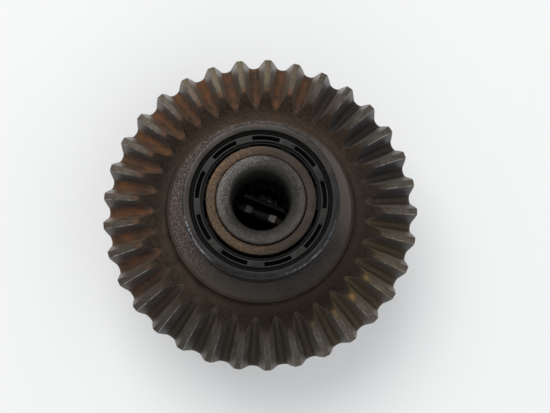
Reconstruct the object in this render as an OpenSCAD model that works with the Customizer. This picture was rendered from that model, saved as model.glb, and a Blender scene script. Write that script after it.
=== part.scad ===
// Bevel crown wheel of a small utility vehicle's final drive. It closes a two-piece differential case, and a
// ball bearing sits on the hub at each end.
// Millimetres. +Z is the gear axis, from the rear bearing to the front one, the side that the teeth face.
// The origin is on the axis, in the plane of the rear bearing's outer face. The cross shaft lies along X.

/* [Crown wheel] */
// Number of teeth on the crown wheel
wheel_teeth = 33; // [31:2:37]
// Number of teeth on the drive pinion that it runs with, which sets the pitch angle
pinion_teeth = 9; // [8:1:10]
// Diameter of the pitch circle at the heel of the teeth
pitch_d = 132; // [130:0.5:134]
// Height of a tooth above the pitch cone, at the heel
addendum = 1.8; // [1.5:0.1:2.2]
// Depth of a tooth space below the pitch cone, at the heel
dedendum = 5.4; // [5:0.1:5.8]
// Pressure angle of the tooth flanks
pressure_angle = 25; // [22.5:0.5:26]
// Width of a tooth space on the pitch circle, at the heel
space_w = 8.2; // [7.8:0.1:8.4]
// Radius where the tooth crests end at the toe
toe_r = 51; // [50:0.5:53]
// Radius of the bottom of the valley between the teeth and the boss
valley_r = 41.5; // [41:0.5:43]
// Depth of the valley below the heel tips
valley_depth = 1; // [0:0.5:2]
// Thickness of the toothed rim at the heel
rim_thickness = 15; // [13:0.5:17]
// Outer radius of the rim behind the teeth
rim_r = 63.6; // [62:0.2:63.8]
// Outer radius of the boss on the front face
boss_r = 39; // [38:0.5:39.5]
// Height of the boss above the heel tips
boss_h = 7; // [6:0.5:8]

/* [Hubs and bearings] */
// Radius of both hubs, where the inner rings are pressed on
hub_r = 17.5; // [17:0.5:18]
// Radius of the bore that the axle shafts pass through
axle_bore_r = 11.6; // [11.5:0.1:12.5]
// Radius of the shoulder that each inner ring seats against
shoulder_r = 20.6; // [20:0.2:21]
// Outside diameter of both bearings
bearing_od = 62; // [61:0.5:63]
// Width of the front bearing
front_w = 20; // [18:1:21]
// Width of the rear bearing
rear_w = 14; // [14:1:16]
// Number of balls in each bearing
ball_count = 9; // [8:1:10]
// Diameter of a ball
ball_d = 7.9; // [7.6:0.1:7.9]
// Angle from the X axis to the first ball
first_ball = 7.3; // [0:0.1:40]
// Thickness of the shim behind each bearing
shim_t = 0.5; // [0.3:0.1:0.8]

/* [Differential gears] */
// Module of the side gears and spider gears at the heel
diff_module = 2.75; // [2.7:0.01:2.78]
// Teeth on each side gear, an even number so that both spider gears mesh
side_teeth = 14; // [14:2:14]
// Teeth on each spider gear, an even number so that both side gears mesh
spider_teeth = 10; // [10:2:10]
// Length of the side and spider teeth along the pitch cone
diff_face_w = 7; // [6.5:0.1:7.2]
// Diameter of the cross shaft
shaft_d = 14; // [13:0.5:14]
// Radius to the tips of the splines in the side gears
spline_r = 10.2; // [9.8:0.1:10.3]
// Number of splines in each side gear
spline_count = 20; // [18:1:22]

/* [Case] */
// Radius of the case's spigot, which centres the crown wheel
spigot_r = 35; // [34.5:0.1:35]
// Outer radius of the bolted flange
flange_r = 57; // [56:0.5:58]
// Thickness of the bolted flange
flange_t = 7; // [6:0.5:8]
// Number of bolts through the flange
bolt_count = 8; // [6:1:8]
// Radius of the bolt circle
bolt_circle_r = 47; // [46.5:0.5:47.5]
// Thread diameter of the bolts
bolt_d = 8; // [7:0.5:8]
// Number of oil holes in the case
oil_holes = 4; // [2:2:4]

/* [Hidden] */
$fn = 96;

// Clearances and small edges
running_gap = 0.1;
bore_gap = 0.05;
edge = 0.6;

// Thrust washers
washer_t = 1;
sphere_gap = 0.15;

// Differential gears: the two pitch cones meet at the apex, which is the centre of the differential.
side_r = diff_module * side_teeth / 2;
spider_r = diff_module * spider_teeth / 2;
side_cone = atan2(side_teeth, spider_teeth);
spider_cone = 90 - side_cone;
cone_length = norm([side_r, spider_r]);
diff_pressure = 25;
diff_backlash = 0.35;
side_addendum = 0.6 * diff_module;
spider_addendum = 0.9 * diff_module;
tip_clearance = 0.2 * diff_module;
side_dedendum = spider_addendum + tip_clearance;
spider_dedendum = side_addendum + tip_clearance;
toe_share = 1 - diff_face_w / cone_length;
side_back = spider_r + side_dedendum * sin(side_cone) + 1.2;
journal_r = 15;
journal_l = 7.5;
spline_depth = 1.1;
spline_w = 1.6;
spider_ball_r = 25;
spider_back_r = 11.8;
case_ball_r = spider_ball_r + washer_t + 2 * sphere_gap;
side_pocket_r = side_r + side_addendum * cos(side_cone) + 0.8;
pocket_reach = side_back + washer_t + 2 * running_gap;

// Heights along the axis, from the rear bearing's outer face
wall_t = 6;
shoulder_h = 1.5;
hub_inset = 0.5;
hub_proud = 2;
rear_shoulder_z = rear_w + shim_t;
rear_wall_z = rear_shoulder_z + shoulder_h;
centre_z = rear_wall_z + wall_t + pocket_reach;
front_wall = 2.8;
front_floor_z = centre_z + pocket_reach;
rear_floor_z = centre_z - pocket_reach;
boss_z = front_floor_z + front_wall;
heel_z = boss_z - boss_h;
front_shoulder_z = boss_z + 2.5;
front_ring_z = front_shoulder_z + shim_t;
front_face_z = front_ring_z + front_w;
hub_end_z = front_face_z + hub_proud;
mount_z = centre_z - shaft_d / 2 - 0.6;
spigot_top_z = heel_z - 1.5;
flange_z = mount_z - flange_t;
body_r = shoulder_r + 13.5;
body_fillet = 2;
body_corner_r = flange_z - body_fillet - rear_wall_z;
floor_angle = 360 - asin((rear_wall_z + body_corner_r - rear_floor_z) / body_corner_r);

// Crown wheel's cones
pitch_r = pitch_d / 2;
wheel_cone = atan2(wheel_teeth, pinion_teeth);
heel_tip_r = pitch_r + addendum * cos(wheel_cone);
apex_z = heel_z - addendum * sin(wheel_cone) + pitch_r / tan(wheel_cone);
face_slope = (apex_z - heel_z) / heel_tip_r;
crest_toe_z = apex_z - face_slope * toe_r;
rim_back_z = heel_z - rim_thickness;
rim_top_z = heel_z - (heel_tip_r - rim_r) * tan(wheel_cone);
valley_z = heel_z - valley_depth;
valley_fillet = 2.5;
foot_r = boss_r + valley_fillet;
foot_z = valley_z - 3;
mount_r = flange_r - 1;

// Bearings
ring_edge = 1;
ball_circle_r = (hub_r + bearing_od / 2) / 2;
groove_r = ball_d / 2 + running_gap;
inner_land_r = ball_circle_r - 2.7;
outer_land_r = ball_circle_r + 2.4;
recess_r = ball_circle_r + 3.7;
recess_depth = 1.6;
cage_inner_r = ball_circle_r - 0.5;
cage_outer_r = ball_circle_r + 2.15;
cage_inset = 1.4;
cage_rail = 0.5;
cage_window_angle = 25;
cage_window_depth = 2.6;
cage_lip = 1.6;

// Fasteners
bolt_thread_l = 12;
bolt_head_h = 5.3;
bolt_head_r = 7.5;
bolt_flange_r = 8.4;
bolt_flange_t = 1.5;
pin_d = 4;
pin_x = 30.5;
pin_top_z = centre_z + 5;
pin_l = 20;
oil_hole_d = 8;
oil_hole_tilt = 40;
shaft_l = 2 * sqrt(spigot_r ^ 2 - (shaft_d / 2) ^ 2) - 0.2;
oil_flat_x = 5.4;
oil_flat_w = 2.9;
oil_flat_depth = 0.15;
side_flat_l = 20;
side_flat_w = 2.6;
side_flat_turn = -52;

// How far the cutting solids run past the surfaces that they cut
past = 1.2;
heel_reach = 1.08;
wheel_toe_reach = foot_r / pitch_r;
diff_toe_reach = 0.5;

forged = "#5b4a3c";
steel = "#7d7c7a";
bright = "#a5a6a8";
polymer = "#4b4f4a";

// Angle of the involute function, in degrees
function involute(a) = tan(a) * 180 / PI - a;

// Half the angle that a tooth fills at radius r of the unrolled back cone, on which n teeth fill a turn
function tooth_half_angle(r, n, unrolled_r) =
    let (base_r = unrolled_r * cos(diff_pressure))
    let (a = acos(min(1, base_r / r)))
    90 / n - diff_backlash / 4 / unrolled_r * 180 / PI + involute(diff_pressure) - involute(a);

// One tooth space of a differential gear: rows of [height over the pitch cone, half angle about the axis]
function diff_space(teeth, gear_r, cone, tip, root) =
    let (unrolled_r = gear_r / cos(cone))
    let (n = teeth / cos(cone))
    [for (s = [-root, -0.6 * root, -0.3 * root, 0, tip / 2, tip, tip + past])
        [s, (180 / n - tooth_half_angle(unrolled_r + s, n, unrolled_r)) / cos(cone)]];

// One tooth space of the crown wheel, with straight flanks that run into a full round root
function wheel_space() =
    let (t = tan(pressure_angle))
    let (root_r = (space_w / 2 - dedendum * t) / (1 / cos(pressure_angle) - t))
    let (low = [for (i = [0:3])
        let (a = -80 + i * (80 - pressure_angle) / 3)
        [root_r * (1 + sin(a)) - dedendum, root_r * cos(a)]])
    let (high = [[addendum + past, space_w / 2 + (addendum + past) * t]])
    [for (p = concat(low, high))
        [p[0], p[1] / (pitch_r + p[0] * cos(wheel_cone)) * 180 / PI]];

// A point on the heel's back cone, with the apex at the origin and the gear's back towards +Z
function heel_point(row, side, gear_r, cone) =
    let (r = gear_r + row[0] * cos(cone))
    [r * cos(row[1]), side * r * sin(row[1]), gear_r / tan(cone) - row[0] * sin(cone)];

// A tooth space as a solid that narrows towards the apex. Its rows give planar faces all round.
module tooth_space(rows, gear_r, cone, toe_reach) {
    n = len(rows);
    last = n - 1;
    points = [for (reach = [toe_reach, heel_reach]) for (side = [-1, 1]) for (row = rows)
        reach * heel_point(row, side, gear_r, cone)];
    faces = concat(
        [for (i = [0:last - 1]) [i, i + 1, n + i + 1, n + i]],
        [for (i = [0:last - 1]) [2 * n + i, 3 * n + i, 3 * n + i + 1, 2 * n + i + 1]],
        [for (i = [0:last - 1]) [i, 2 * n + i, 2 * n + i + 1, i + 1]],
        [for (i = [0:last - 1]) [n + i, n + i + 1, 3 * n + i + 1, 3 * n + i]],
        [[0, n, 3 * n, 2 * n]],
        [[last, 2 * n + last, 3 * n + last, n + last]]
    );
    polyhedron(points, faces, convexity = 4);
}

module tooth_spaces(teeth, rows, gear_r, cone, toe_reach, first = 0)
    for (i = [0:teeth - 1])
        rotate([0, 0, first + i * 360 / teeth]) tooth_space(rows, gear_r, cone, toe_reach);

// A flat ring with its lower face at z
module ring(outer_r, inner_r, h, z = 0)
    translate([0, 0, z]) difference() {
        cylinder(r = outer_r, h = h);
        translate([0, 0, -past]) cylinder(r = inner_r, h = h + 2 * past);
    }

// Points of an arc in the profile plane
function arc(centre, r, from, to, steps) =
    [for (i = [0:steps]) let (a = from + (to - from) * i / steps) centre + r * [cos(a), sin(a)]];

module crown_wheel_blank() rotate_extrude() polygon([
    [spigot_r + bore_gap, mount_z], [mount_r - edge, mount_z], [mount_r, mount_z + edge],
    [mount_r, rim_back_z], [rim_r - edge, rim_back_z], [rim_r, rim_back_z + edge], [rim_r, rim_top_z],
    [heel_tip_r, heel_z], [toe_r, crest_toe_z],
    [valley_r + 3, valley_z + 0.9], [valley_r + 1.2, valley_z + 0.15], [foot_r, valley_z],
    [foot_r, foot_z], [spigot_r + bore_gap, foot_z]
]);

module crown_wheel() color(forged) difference() {
    crown_wheel_blank();
    translate([0, 0, apex_z]) mirror([0, 0, 1])
        tooth_spaces(wheel_teeth, wheel_space(), pitch_r, wheel_cone, wheel_toe_reach, 180 / wheel_teeth);
    at_bolts() translate([0, 0, mount_z - past]) cylinder(d = bolt_d, h = bolt_thread_l + 1 + past);
}

// The front end of the case. Its foot sits in the crown wheel, level with the valley.
module front_hub() color(forged) rotate_extrude() polygon(concat(
    [[spigot_r + bore_gap, foot_z], [foot_r, foot_z]],
    arc([foot_r, valley_z + valley_fillet], valley_fillet, 270, 180, 4),
    [[boss_r, boss_z - edge], [boss_r - edge, boss_z]],
    [[shoulder_r, boss_z], [shoulder_r, front_shoulder_z], [hub_r, front_shoulder_z]],
    [[hub_r, hub_end_z - edge], [hub_r - edge, hub_end_z], [hub_r - 1.9, hub_end_z]],
    [[hub_r - 3.2, hub_end_z - 0.6], [hub_r - 4.4, hub_end_z - 1.8], [axle_bore_r, hub_end_z - 3.4]],
    [[axle_bore_r, front_floor_z + journal_l], [journal_r + bore_gap, front_floor_z + journal_l]],
    [[journal_r + bore_gap, front_floor_z], [side_pocket_r, front_floor_z]],
    [[side_pocket_r, spigot_top_z + 3], [side_pocket_r + 2.4, spigot_top_z + running_gap]],
    [[spigot_r + bore_gap, spigot_top_z + running_gap]]
));

module at_bolts()
    for (i = [0:bolt_count - 1])
        rotate([0, 0, (i + 0.5) * 360 / bolt_count]) translate([bolt_circle_r, 0, 0]) children();

// The middle of the case, from the floor of the gear chamber to the top of the spigot, with the bolted flange
module rear_case_blank() rotate_extrude() polygon(concat(
    [[axle_bore_r, rear_floor_z]],
    arc([body_r - body_corner_r, rear_wall_z + body_corner_r], body_corner_r, floor_angle, 360, 2),
    arc([body_r + body_fillet, flange_z - body_fillet], body_fillet, 150, 90, 2),
    [[flange_r - edge, flange_z], [flange_r, flange_z + edge], [flange_r, mount_z - edge]],
    [[flange_r - edge, mount_z], [spigot_r, mount_z], [spigot_r, spigot_top_z - edge]],
    [[spigot_r - edge, spigot_top_z], [axle_bore_r, spigot_top_z]]
));

// The space that holds the side and spider gears
module gear_chamber() {
    translate([0, 0, rear_floor_z - past]) cylinder(r = side_pocket_r, h = pocket_reach + past);
    intersection() {
        translate([0, 0, centre_z]) sphere(r = case_ball_r);
        translate([0, 0, rear_floor_z - past]) cylinder(r = case_ball_r + past, h = 2 * pocket_reach + past);
    }
}

module oil_hole_cuts()
    for (i = [0:oil_holes - 1])
        translate([0, 0, centre_z]) rotate([0, 90 + oil_hole_tilt, 45 + i * 360 / oil_holes])
            translate([0, 0, 18]) cylinder(d = oil_hole_d, h = 24);

module rear_case() color(steel) difference() {
    rear_case_blank();
    gear_chamber();
    along_x() cylinder(d = shaft_d + 2 * bore_gap, h = 2 * spigot_r + 4 * past, center = true);
    roll_pin_hole();
    at_bolts() translate([0, 0, flange_z - past]) cylinder(d = bolt_d + 0.6, h = flange_t + 2 * past);
    oil_hole_cuts();
}

// The rear end of the case, with the hub and the floor of the gear chamber
module rear_hub() color(steel) difference() {
    rotate_extrude() polygon(concat(
        [[axle_bore_r, hub_inset + edge], [axle_bore_r + edge, hub_inset], [hub_r - edge, hub_inset]],
        [[hub_r, hub_inset + edge], [hub_r, rear_shoulder_z], [shoulder_r, rear_shoulder_z]],
        [[shoulder_r, rear_wall_z]],
        arc([body_r - body_corner_r, rear_wall_z + body_corner_r], body_corner_r, 270, floor_angle, 4),
        [[journal_r + bore_gap, rear_floor_z], [journal_r + bore_gap, rear_floor_z - journal_l]],
        [[axle_bore_r, rear_floor_z - journal_l]]
    ));
    roll_pin_hole();
    oil_hole_cuts();
}

// Puts what is drawn along Z on the cross shaft's axis, pointing along +X
module along_x() translate([0, 0, centre_z]) rotate([0, 90, 0]) children();

module roll_pin_hole()
    translate([pin_x, 0, rear_wall_z - past]) cylinder(d = pin_d, h = pin_top_z - rear_wall_z + past + 0.5);

module case_bolts() color(steel) at_bolts() {
    translate([0, 0, flange_z]) cylinder(d = bolt_d - 2 * bore_gap, h = flange_t + bolt_thread_l);
    translate([0, 0, flange_z - bolt_flange_t]) cylinder(r = bolt_flange_r, h = bolt_flange_t);
    translate([0, 0, flange_z - bolt_head_h]) cylinder(r = bolt_head_r, h = bolt_head_h, $fn = 6);
}

// Cross shaft, with two ground oil flats between the spider gears and a long one on its side
module cross_shaft() color(bright) difference() {
    along_x() union() {
        cylinder(d = shaft_d, h = shaft_l - 2 * edge, center = true);
        cylinder(d = shaft_d - 2 * edge, h = shaft_l, center = true);
    }
    for (x = [-oil_flat_x, oil_flat_x]) shaft_flat(x, oil_flat_w, oil_flat_w, 0);
    shaft_flat(0, side_flat_l, side_flat_w, side_flat_turn);
    roll_pin_hole();
}

// What is ground off the cross shaft to leave a flat of length l and width w, turned about X from the top
module shaft_flat(x, l, w, turn)
    translate([x, 0, centre_z]) rotate([turn, 0, 0])
        translate([0, 0, shaft_d / 2 - oil_flat_depth + past / 2]) cube([l, w, past], center = true);

module shaft_roll_pin() color(bright) translate([pin_x, 0, pin_top_z - pin_l]) difference() {
    cylinder(d = pin_d - 0.04, h = pin_l);
    translate([0, 0, -past]) cylinder(d = pin_d / 2, h = pin_l + 2 * past);
    translate([0, -0.3, -past]) cube([pin_d, 0.6, pin_l + 2 * past]);
}

// The turned blank of a differential gear. The apex is at the origin and the back is towards +Z.
module spider_blank() {
    tip = [spider_r + spider_addendum * cos(spider_cone), side_r - spider_addendum * sin(spider_cone)];
    root = [spider_r - spider_dedendum * cos(spider_cone), side_r + spider_dedendum * sin(spider_cone)];
    bore_r = shaft_d / 2 + bore_gap;
    intersection() {
        rotate_extrude() polygon([
            [bore_r, toe_share * tip[1] + 1.2], toe_share * root, toe_share * tip, tip, root,
            [spider_back_r, root[1] + 0.4], [spider_back_r - 1, spider_ball_r], [bore_r, spider_ball_r]
        ]);
        sphere(r = spider_ball_r);
    }
}

module spider_gear() color(steel) difference() {
    spider_blank();
    tooth_spaces(
        spider_teeth, diff_space(spider_teeth, spider_r, spider_cone, spider_addendum, spider_dedendum),
        spider_r, spider_cone, diff_toe_reach, 180 / spider_teeth
    );
}

module spider_gear_a() along_x() spider_gear();
module spider_gear_b() rotate([0, 0, 180]) along_x() spider_gear();

// Dished thrust washer between a spider gear's round back and the case
module spider_washer() color(bright) along_x() difference() {
    intersection() {
        sphere(r = spider_ball_r + sphere_gap + washer_t);
        cylinder(r = spider_back_r - 0.5, h = case_ball_r);
    }
    sphere(r = spider_ball_r + sphere_gap);
    cylinder(d = shaft_d + 4 * bore_gap, h = 2 * case_ball_r, center = true);
}

module spider_washer_a() spider_washer();
module spider_washer_b() rotate([0, 0, 180]) spider_washer();

module side_blank() {
    tip = [side_r + side_addendum * cos(side_cone), spider_r - side_addendum * sin(side_cone)];
    root = [side_r - side_dedendum * cos(side_cone), spider_r + side_dedendum * sin(side_cone)];
    rotate_extrude() polygon([
        [spline_r, toe_share * tip[1] + 1], toe_share * root - [0.3, 0], toe_share * root, toe_share * tip,
        tip, root, [root[0], side_back], [journal_r, side_back],
        [journal_r, side_back + journal_l - 0.5], [journal_r - 0.5, side_back + journal_l],
        [spline_r + 2, side_back + journal_l], [spline_r, side_back + journal_l - 2]
    ]);
}

module side_gear() color(steel) difference() {
    side_blank();
    tooth_spaces(
        side_teeth, diff_space(side_teeth, side_r, side_cone, side_addendum, side_dedendum),
        side_r, side_cone, diff_toe_reach
    );
    for (i = [0:spline_count - 1])
        rotate([0, 0, i * 360 / spline_count])
            translate([spline_r - 1, -spline_w / 2, 0]) cube([1 + spline_depth, spline_w, 2 * side_back]);
}

module side_gear_front() translate([0, 0, centre_z]) side_gear();
module side_gear_rear() translate([0, 0, centre_z]) mirror([0, 0, 1]) side_gear();

module side_washer(z) color(bright)
    ring(side_r - side_dedendum * cos(side_cone), journal_r + 2 * bore_gap, washer_t, z);

module side_washer_front() side_washer(centre_z + side_back + running_gap);
module side_washer_rear() side_washer(centre_z - side_back - running_gap - washer_t);

module shim(z) color(bright) ring(shoulder_r - 0.2, hub_r + bore_gap, shim_t, z);
module front_shim() shim(front_shoulder_z);
module rear_shim() shim(rear_w);

// Bearing parts stand on z = 0, with the cage's closed side at the top, and w is the bearing's width.
module inner_ring(w) color(bright) difference() {
    rotate_extrude() polygon([
        [hub_r, edge], [hub_r + edge, 0], [inner_land_r - 0.4, 0], [inner_land_r, 0.4],
        [inner_land_r, w - 0.4], [inner_land_r - 0.4, w], [hub_r + edge, w], [hub_r, w - edge]
    ]);
    ball_groove(w);
}

module outer_ring(w) color(bright) difference() {
    outer_r = bearing_od / 2;
    rotate_extrude() polygon([
        [outer_r - ring_edge, 0], [outer_r, ring_edge], [outer_r, w - ring_edge], [outer_r - ring_edge, w],
        [recess_r + 0.3, w], [recess_r, w - 0.3], [recess_r, w - recess_depth],
        [outer_land_r, w - recess_depth], [outer_land_r, recess_depth],
        [recess_r, recess_depth], [recess_r, 0.3], [recess_r + 0.3, 0]
    ]);
    ball_groove(w);
}

module ball_groove(w)
    translate([0, 0, w / 2]) rotate_extrude() translate([ball_circle_r, 0]) circle(r = groove_r);

module at_balls(w)
    for (i = [0:ball_count - 1])
        rotate([0, 0, first_ball + i * 360 / ball_count]) translate([ball_circle_r, 0, w / 2]) children();

// Snap-in cage. On its closed side, a deep pocket lightens each finger between two balls.
module cage(w) color(polymer) difference() {
    bottom_z = w / 2 - cage_lip;
    ring(cage_outer_r, cage_inner_r, w - cage_inset - bottom_z, bottom_z);
    at_balls(w) sphere(r = groove_r);
    for (i = [0:ball_count - 1])
        rotate([0, 0, first_ball + (i + 0.5) * 360 / ball_count - cage_window_angle / 2])
            rotate_extrude(angle = cage_window_angle)
                translate([cage_inner_r + cage_rail, w - cage_inset - cage_window_depth])
                    square([cage_outer_r - cage_inner_r - 2 * cage_rail, cage_window_depth + past]);
}

module balls(w) color(bright) at_balls(w) sphere(d = ball_d);

// Places a part of each bearing. The rear one is turned over, so that both closed sides face outwards.
module at_front() translate([0, 0, front_ring_z]) children();
module at_rear() translate([0, 0, rear_w]) mirror([0, 0, 1]) children();

module front_inner_ring() at_front() inner_ring(front_w);
module front_outer_ring() at_front() outer_ring(front_w);
module front_cage() at_front() cage(front_w);
module front_balls() at_front() balls(front_w);
module rear_inner_ring() at_rear() inner_ring(rear_w);
module rear_outer_ring() at_rear() outer_ring(rear_w);
module rear_cage() at_rear() cage(rear_w);
module rear_balls() at_rear() balls(rear_w);

crown_wheel();
front_hub();
rear_case();
rear_hub();
case_bolts();
cross_shaft();
shaft_roll_pin();
spider_gear_a();
spider_gear_b();
spider_washer_a();
spider_washer_b();
side_gear_front();
side_gear_rear();
side_washer_front();
side_washer_rear();
front_shim();
front_inner_ring();
front_outer_ring();
front_cage();
front_balls();
rear_shim();
rear_inner_ring();
rear_outer_ring();
rear_cage();
rear_balls();
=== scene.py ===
"""Looks of the bevel crown wheel, its differential case and its hub bearings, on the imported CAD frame."""

import math

import bpy
import numpy as np
from mathutils import Matrix, Vector


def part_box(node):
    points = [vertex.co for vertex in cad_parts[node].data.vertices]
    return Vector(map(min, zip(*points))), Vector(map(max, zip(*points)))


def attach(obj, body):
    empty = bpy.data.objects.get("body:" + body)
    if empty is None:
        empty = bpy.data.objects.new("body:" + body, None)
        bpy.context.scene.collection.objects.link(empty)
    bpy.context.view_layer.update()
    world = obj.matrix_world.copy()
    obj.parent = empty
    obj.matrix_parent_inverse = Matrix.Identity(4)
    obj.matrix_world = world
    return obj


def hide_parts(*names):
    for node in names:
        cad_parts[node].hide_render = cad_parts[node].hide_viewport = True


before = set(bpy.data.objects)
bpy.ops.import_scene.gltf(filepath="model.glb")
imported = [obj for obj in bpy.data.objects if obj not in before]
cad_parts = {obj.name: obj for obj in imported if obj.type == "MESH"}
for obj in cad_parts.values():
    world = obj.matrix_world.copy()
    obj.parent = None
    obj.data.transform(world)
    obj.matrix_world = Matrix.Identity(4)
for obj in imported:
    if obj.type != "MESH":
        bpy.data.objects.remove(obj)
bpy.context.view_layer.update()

MM = 0.001
TAU = 2 * math.pi

# Where the photograph's right and up point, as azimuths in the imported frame
RIGHT_AZIMUTH = math.radians(21.8)
UP_AZIMUTH = RIGHT_AZIMUTH + math.pi / 2


# ---------------- sizes, in millimetres
def box_mm(node):
    low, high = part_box(node)
    return low / MM, high / MM


MOUNT_Z = box_mm("crown_wheel")[0].z
HUB_END_Z = box_mm("front_hub")[1].z
REAR_END_Z = box_mm("rear_hub")[0].z
SPIGOT_TOP_Z = box_mm("rear_case")[1].z
FRONT_LOW, FRONT_HIGH = box_mm("front_outer_ring")
REAR_LOW, REAR_HIGH = box_mm("rear_outer_ring")
SHAFT_LOW, SHAFT_HIGH = box_mm("cross_shaft")
BOLTS_LOW, BOLTS_HIGH = box_mm("case_bolts")

# Crown wheel
TEETH, PINION_TEETH = 33, 9
PITCH_R = 66.0
WHEEL_CONE = math.atan2(TEETH, PINION_TEETH)
BACK_SLOPE = math.tan(WHEEL_CONE)
ADDENDUM, DEDENDUM = 1.8, 5.4
SPACE_W = 8.2
PRESSURE_ANGLE = math.radians(25)
HEEL_TIP_R = PITCH_R + ADDENDUM * math.cos(WHEEL_CONE)
RIM_R, RIM_THICKNESS, MOUNT_R = 63.6, 15.0, 56.0
HUB_R, SHOULDER_R, BOSS_R, BORE_R = 17.5, 20.6, 39.0, 11.6
VALLEY_FILLET = 2.5
FOOT_R = BOSS_R + VALLEY_FILLET
FRONT_SHOULDER_Z = FRONT_LOW.z - 0.5
BOSS_Z = FRONT_SHOULDER_Z - 2.5
HEEL_Z = BOSS_Z - 7.0
VALLEY_Z = HEEL_Z - 1.0
RIM_TOP_Z, RIM_BACK_Z = HEEL_Z - (HEEL_TIP_R - RIM_R) * BACK_SLOPE, HEEL_Z - RIM_THICKNESS
APEX_Z = HEEL_Z - ADDENDUM * math.sin(WHEEL_CONE) + PITCH_R / BACK_SLOPE
# The front face curves up from the valley to the bend, and is straight from there to the crests
BEND_R, DISH_SLOPE = 45.0, 0.598

# Case and cross shaft
FLANGE_R, FLANGE_Z = 57.0, MOUNT_Z - 7.0
SPIGOT_R = 35.0
BODY_R, BODY_FILLET = SHOULDER_R + 13.5, 2.0
CENTRE_Z = (SHAFT_LOW.z + SHAFT_HIGH.z) / 2
CHAMBER_R, SIDE_POCKET_R = 26.3, 21.0
FRONT_FLOOR_Z = BOSS_Z - 2.8
REAR_FLOOR_Z = 2 * CENTRE_Z - FRONT_FLOOR_Z
JOURNAL_R, JOURNAL_L = 15.05, 7.5
SHAFT_R = (SHAFT_HIGH.z - SHAFT_LOW.z) / 2
PIN_X, PIN_R, PIN_TOP_Z = 30.5, 2.0, CENTRE_Z + 5.0
OIL_HOLES, OIL_HOLE_R, OIL_HOLE_TILT = 4, 4.0, math.radians(40)
OIL_FLAT_X, OIL_FLAT_W, FLAT_DEPTH = 5.4, 2.9, 0.15
SIDE_FLAT_L, SIDE_FLAT_AZIMUTH = 20.0, math.radians(90 - 52)
BOLT_COUNT, BOLT_CIRCLE_R = 8, 47.0
BOLT_R, BOLT_HOLE_R, BOLT_HEAD_R, BOLT_FLANGE_R, BOLT_FLANGE_T = 3.95, 4.3, 7.5, 8.4, 1.5

# Bearings
BEARING_R = 31.0
BALL_CIRCLE_R = (HUB_R + BEARING_R) / 2
BALL_COUNT, FIRST_BALL = 9, math.radians(7.3)
GROOVE_R = 4.05
INNER_LAND_R, OUTER_LAND_R = BALL_CIRCLE_R - 2.7, BALL_CIRCLE_R + 2.4
RECESS_R, RECESS_DEPTH = BALL_CIRCLE_R + 3.7, 1.6
CAGE_INNER_R, CAGE_OUTER_R = BALL_CIRCLE_R - 0.5, BALL_CIRCLE_R + 2.15
CAGE_INSET, CAGE_LIP, CAGE_RAIL = 1.4, 1.6, 0.5
CAGE_STEP_R, CAGE_STEP_GAP, CAGE_STEP_DEPTH = CAGE_INNER_R - 1.0, 0.45, 0.9
WINDOW_ANGLE, WINDOW_DEPTH = math.radians(25), 2.6


# ---------------- profiles and meshes
def bend(start, corner, end, u):
    """The point at share u of the curve from start to end that leaves each of them towards the corner."""
    return (1 - u) ** 2 * start + 2 * u * (1 - u) * corner + u * u * end


def rounded(points, steps=4):
    """A closed profile of (r, z) or (r, z, fillet), with its corners rounded by a curve of that fillet."""
    found = []
    for i, point in enumerate(points):
        here = np.array(point[:2], float)
        if len(point) < 3:
            found.append(here)
            continue
        before = np.array(points[i - 1][:2], float) - here
        after = np.array(points[(i + 1) % len(points)][:2], float) - here
        reach = min(point[2], 0.48 * np.linalg.norm(before), 0.48 * np.linalg.norm(after))
        start = here + before / np.linalg.norm(before) * reach
        end = here + after / np.linalg.norm(after) * reach
        found += [bend(start, here, end, u) for u in np.linspace(0, 1, steps + 1)]
    return np.array(found)


def arc(centre_r, centre_z, radius, start, end, steps):
    """Points (r, z) of an arc between two angles in degrees."""
    angles = np.radians(np.linspace(start, end, steps + 1))
    return [(centre_r + radius * math.cos(a), centre_z + radius * math.sin(a)) for a in angles]


def grid_faces(rows, columns, close_rows=True):
    """Quads of a grid whose columns run round the axis. A profile that runs anticlockwise faces outwards."""
    j, i = np.meshgrid(np.arange(rows if close_rows else rows - 1), np.arange(columns), indexing="ij")
    up, on = (j + 1) % rows, (i + 1) % columns
    corners = [j * columns + i, j * columns + on, up * columns + on, up * columns + i]
    return np.stack(corners, -1).reshape(-1, 4)


def around_axis(r, phi, z):
    """Points at radius r, azimuth phi and height z, each a number or an array."""
    return np.stack(np.broadcast_arrays(r * np.cos(phi), r * np.sin(phi), z), -1)


def add_object(name, data):
    added = bpy.data.objects.new(name, data)
    bpy.context.scene.collection.objects.link(added)
    return added


def make(name, points, faces, smooth_angle=40):
    """A mesh object from points in millimetres, smooth but for edges sharper than smooth_angle degrees."""
    mesh = bpy.data.meshes.new(name)
    mesh.from_pydata((np.asarray(points) * MM).tolist(), [], [list(f) for f in faces])
    mesh.update()
    mesh.shade_smooth()
    mesh.set_sharp_from_angle(angle=math.radians(smooth_angle))
    return add_object(name, mesh)


def turned(profile, segments):
    """Points and faces of a closed profile turned about Z."""
    profile = np.asarray(profile)
    phi = np.arange(segments) * TAU / segments
    points = around_axis(profile[:, :1], phi, profile[:, 1:2])
    return points.reshape(-1, 3), grid_faces(len(profile), segments)


def mirrored(profile, top):
    """A bearing profile turned over, still anticlockwise."""
    profile = np.asarray(profile).copy()
    profile[:, 1] = top - profile[:, 1]
    return profile[::-1]


def cut(piece, cutters):
    """Subtracts closed meshes, given as (points, faces) pairs, from the piece."""
    for n, (points, faces) in enumerate(cutters):
        tool = make(f"{piece.name}_cutter_{n}", points, faces)
        modifier = piece.modifiers.new("cut", "BOOLEAN")
        modifier.operation, modifier.solver, modifier.object = "DIFFERENCE", "EXACT", tool
        bpy.context.view_layer.objects.active = piece
        bpy.ops.object.modifier_apply(modifier=modifier.name)
        bpy.data.objects.remove(tool)
    piece.data.shade_smooth()
    piece.data.set_sharp_from_angle(angle=math.radians(35))


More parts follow.
